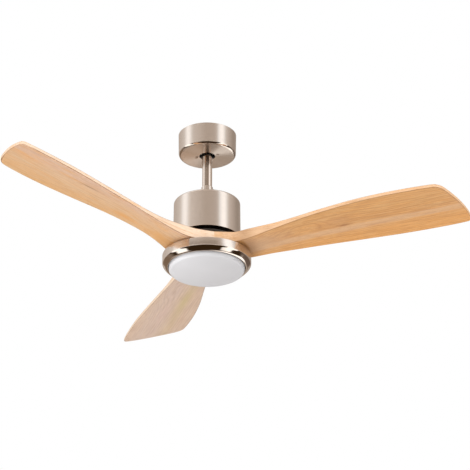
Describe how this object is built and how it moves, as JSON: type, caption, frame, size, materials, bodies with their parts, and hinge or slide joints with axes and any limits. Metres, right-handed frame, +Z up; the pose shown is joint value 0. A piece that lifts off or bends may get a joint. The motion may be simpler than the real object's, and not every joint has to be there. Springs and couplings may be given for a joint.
{
  "type": "ceiling fan with light",
  "caption": "Ceiling fan with twisted wooden blades mitred at a hub, drum canopy with ball joint, downrod, drum motor housing and round opal light in a rolled metal ring.",
  "frame": {"origin": "centre of the ceiling plane, in the middle of the ceiling bracket's top face", "axes": "+Z up into the ceiling and along the rod and spin axis; +X along the first blade; the bracket's two slots lie on the Y axis"},
  "size_m": [1.0478, 1.1652, 0.383],
  "materials": {
    "brushed_nickel": "satin brushed nickel plate",
    "zinc_steel": "bright zinc plate",
    "green_screw": "green painted earth screw",
    "black_nylon": "moulded, matte",
    "white_nylon": "moulded, satin",
    "black_casting": "black satin powder coat",
    "black_screw": "black oxide",
    "lead_insulation": "coloured PVC insulation",
    "shaft_steel": "ground steel",
    "laminations": "stacked silicon steel sheet",
    "copper_wire": "enamelled copper wire",
    "green_board": "solder mask",
    "brass_post": "turned brass",
    "bearing_steel": "polished",
    "ferrite": "sintered, matte",
    "hub_rubber": "flat rubber sheet",
    "pale_wood": "clear satin lacquer over pale straight grain",
    "white_aluminium": "white solder mask on aluminium",
    "led_phosphor": "yellow phosphor",
    "opal_plastic": "opal white diffuser, satin"
  },
  "bodies": {
    "root": {"ceiling_bracket": "zinc_steel", "ball_seat": "black_nylon", "registration_pin": "zinc_steel", "earth_screw": "green_screw", "terminal_block": "white_nylon", "receiver_box": "black_nylon", "canopy": "brushed_nickel", "canopy_screws": "brushed_nickel"},
    "liner": {"seat_liner": "white_nylon"},
    "pendant": {"hanger_ball": "black_casting", "ball_pin": "zinc_steel", "ball_set_screw": "black_screw", "downrod": "brushed_nickel", "rod_pin": "zinc_steel", "pin_clip": "zinc_steel", "motor_coupler": "brushed_nickel", "coupler_set_screws": "black_screw", "lead_connector": "white_nylon", "lead_bundle": "lead_insulation", "motor_housing": "brushed_nickel", "housing_screws": "zinc_steel", "motor_shaft": "shaft_steel", "stator_core": "laminations", "stator_windings": "copper_wire", "motor_board": "green_board", "board_standoffs": "brass_post", "bearing_inner_rings": "bearing_steel", "light_mount_plate": "zinc_steel", "shaft_nut": "zinc_steel", "light_ring": "brushed_nickel", "ring_screws": "zinc_steel", "led_driver": "white_nylon", "led_standoffs": "brass_post", "led_board": "white_aluminium", "leds": "led_phosphor", "lens_keepers": "zinc_steel"},
    "rotor": {"bearing_outer_rings": "bearing_steel", "bearing_balls": "bearing_steel", "rotor_top_casing": "black_casting", "rotor_bottom_casing": "black_casting", "casing_screws": "zinc_steel", "back_iron_ring": "laminations", "rotor_magnets": "ferrite", "hub_pad": "hub_rubber", "blade_1": "pale_wood", "blade_2": "pale_wood", "blade_3": "pale_wood", "blade_clamp_plate": "zinc_steel", "blade_screws": "black_screw"},
    "lens": {"lens": "opal_plastic"}
  },
  "joints": [
    {"name": "tilt_x", "type": "hinge", "parent": "root", "child": "liner", "pos_m": [0, 0, -0.029], "axis": [1, 0, 0], "range_deg": [-8, 8]},
    {"name": "tilt_y", "type": "hinge", "parent": "liner", "child": "pendant", "pos_m": [0, 0, -0.029], "axis": [0, 1, 0], "range_deg": [-8, 8]},
    {"name": "rotor_spin", "type": "hinge", "parent": "pendant", "child": "rotor", "pos_m": [0, 0, -0.32], "axis": [0, 0, 1], "continuous": true},
    {"name": "lens_twist", "type": "hinge", "parent": "pendant", "child": "lens", "pos_m": [0, 0, -0.37], "axis": [0, 0, 1], "range_deg": [0, 24]}
  ]
}
